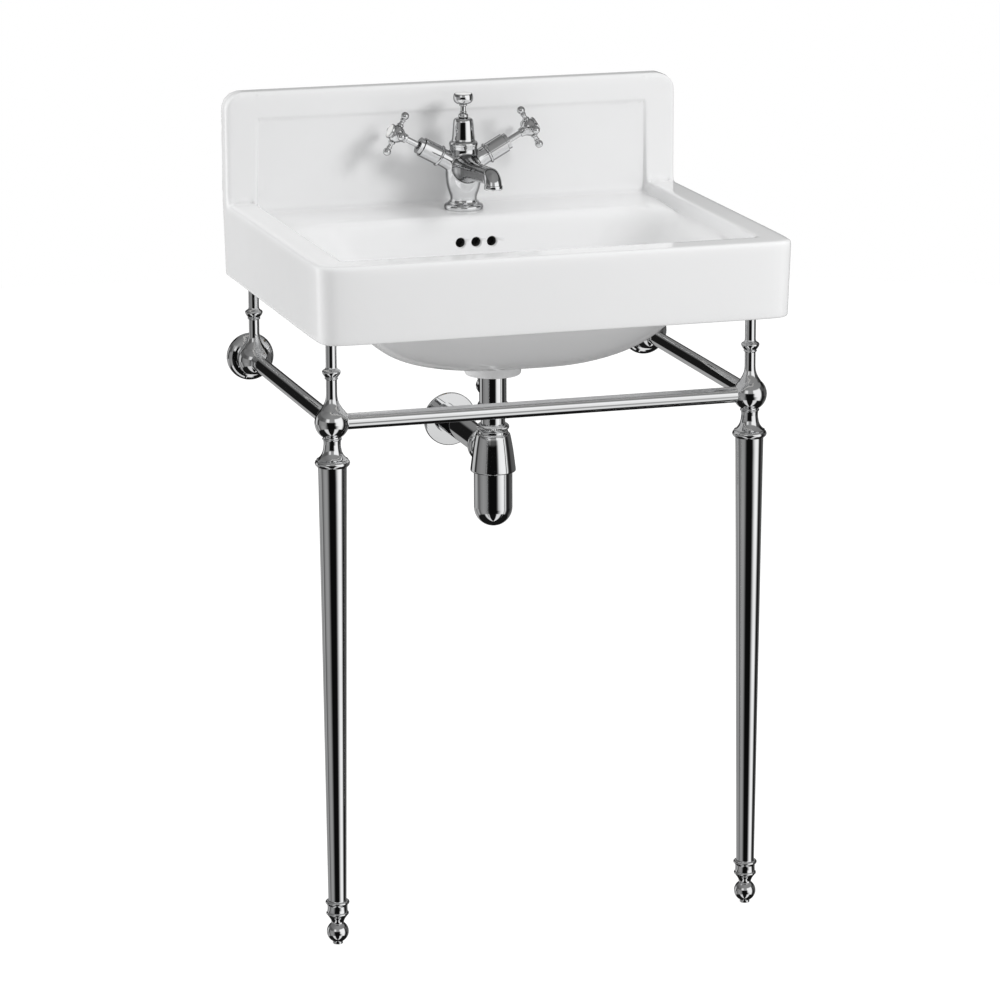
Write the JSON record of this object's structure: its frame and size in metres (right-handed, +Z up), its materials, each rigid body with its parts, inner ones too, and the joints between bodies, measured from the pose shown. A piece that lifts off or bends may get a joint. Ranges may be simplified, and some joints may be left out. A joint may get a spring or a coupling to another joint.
{
  "type": "washbasin with stand",
  "caption": "Rectangular glazed washbasin with a high moulded upstand, a cross-handle tap with a pop-up waste, a bottle trap, and a turned metal stand with rails and wall rosettes.",
  "frame": {"origin": "on the floor, at the bottom centre of the whole part's box: under the middle of the basin's width and depth", "axes": "+Z up, +Y towards the wall, +X to the right for a viewer in front of the basin"},
  "size_m": [0.58, 0.47, 0.972],
  "materials": {
    "glazed_ceramic": "glossy white glaze",
    "chrome": "polished",
    "index_ceramic": "glossy off-white",
    "white_plastic": "satin",
    "rubber": "matte",
    "brass": "bare, machined",
    "plated_steel": "zinc plated"
  },
  "bodies": {
    "frame": {"basin": "glazed_ceramic", "tap_body": "chrome", "aerator": "white_plastic", "tap_gasket": "rubber", "hot_shroud": "chrome", "cold_shroud": "chrome", "hot_cartridge": "brass", "cold_cartridge": "brass", "centre_bell": "chrome", "bell_gland": "chrome", "fixing_stud": "plated_steel", "clamp_rubber": "rubber", "clamp_plate": "brass", "fixing_nut": "brass", "waste_body": "chrome", "upper_seal": "rubber", "lower_seal": "rubber", "back_nut": "brass", "pivot_nut": "chrome", "tail_collar": "chrome", "tailpipe": "chrome", "trap_inlet_nut": "chrome", "inlet_seal": "rubber", "trap_body": "chrome", "trap_bottle": "chrome", "bottle_seal": "rubber", "outlet_nut": "chrome", "outlet_arm": "chrome", "outlet_flange": "chrome", "left_leg": "chrome", "right_leg": "chrome", "left_leg_head": "chrome", "right_leg_head": "chrome", "front_balls": "chrome", "rear_balls": "chrome", "front_spindles": "chrome", "rear_spindles": "chrome", "support_buffers": "rubber", "front_rail": "chrome", "left_rail": "chrome", "right_rail": "chrome", "wall_rosettes": "chrome", "wall_plates": "plated_steel", "foot_collars": "chrome"},
    "hot_valve": {"hot_spindle": "chrome", "hot_handle": "chrome", "hot_index": "index_ceramic"},
    "cold_valve": {"cold_spindle": "chrome", "cold_handle": "chrome", "cold_index": "index_ceramic"},
    "lift": {"waste_knob": "chrome", "knob_disc": "index_ceramic", "lift_rod": "chrome", "lift_strap": "plated_steel", "strap_screw": "plated_steel"},
    "pivot_lever": {"pivot_rod": "chrome"},
    "plug_body": {"plug": "chrome", "plug_seal": "rubber"},
    "left_foot_body": {"left_foot": "chrome"},
    "right_foot_body": {"right_foot": "chrome"}
  },
  "joints": [
    {"name": "hot_handle_turn", "type": "hinge", "parent": "frame", "child": "hot_valve", "pos_m": [0, 0.168, 0.8723], "axis": [-0.8788, 0, 0.4772], "range_deg": [0, 90]},
    {"name": "cold_handle_turn", "type": "hinge", "parent": "frame", "child": "cold_valve", "pos_m": [0, 0.168, 0.8723], "axis": [0.8788, 0, 0.4772], "range_deg": [-90, 0]},
    {"name": "waste_knob_lift", "type": "slide", "parent": "frame", "child": "lift", "axis": [0, 0, 1], "range_m": [0, 0.028]},
    {"name": "pivot_rod_swing", "type": "hinge", "parent": "frame", "child": "pivot_lever", "pos_m": [0, 0.068, 0.617], "axis": [1, 0, 0], "range_deg": [0, 14.34]},
    {"name": "plug_drop", "type": "slide", "parent": "frame", "child": "plug_body", "axis": [0, 0, -1], "range_m": [0, 0.00585]},
    {"name": "left_foot_level", "type": "slide", "parent": "frame", "child": "left_foot_body", "axis": [0, 0, -1], "range_m": [0, 0.01]},
    {"name": "right_foot_level", "type": "slide", "parent": "frame", "child": "right_foot_body", "axis": [0, 0, -1], "range_m": [0, 0.01]}
  ],
  "couplings": [
    {"joint": "pivot_rod_swing", "follows": "waste_knob_lift", "rad_per_m": 8.932},
    {"joint": "plug_drop", "follows": "waste_knob_lift", "ratio": 0.2085}
  ]
}
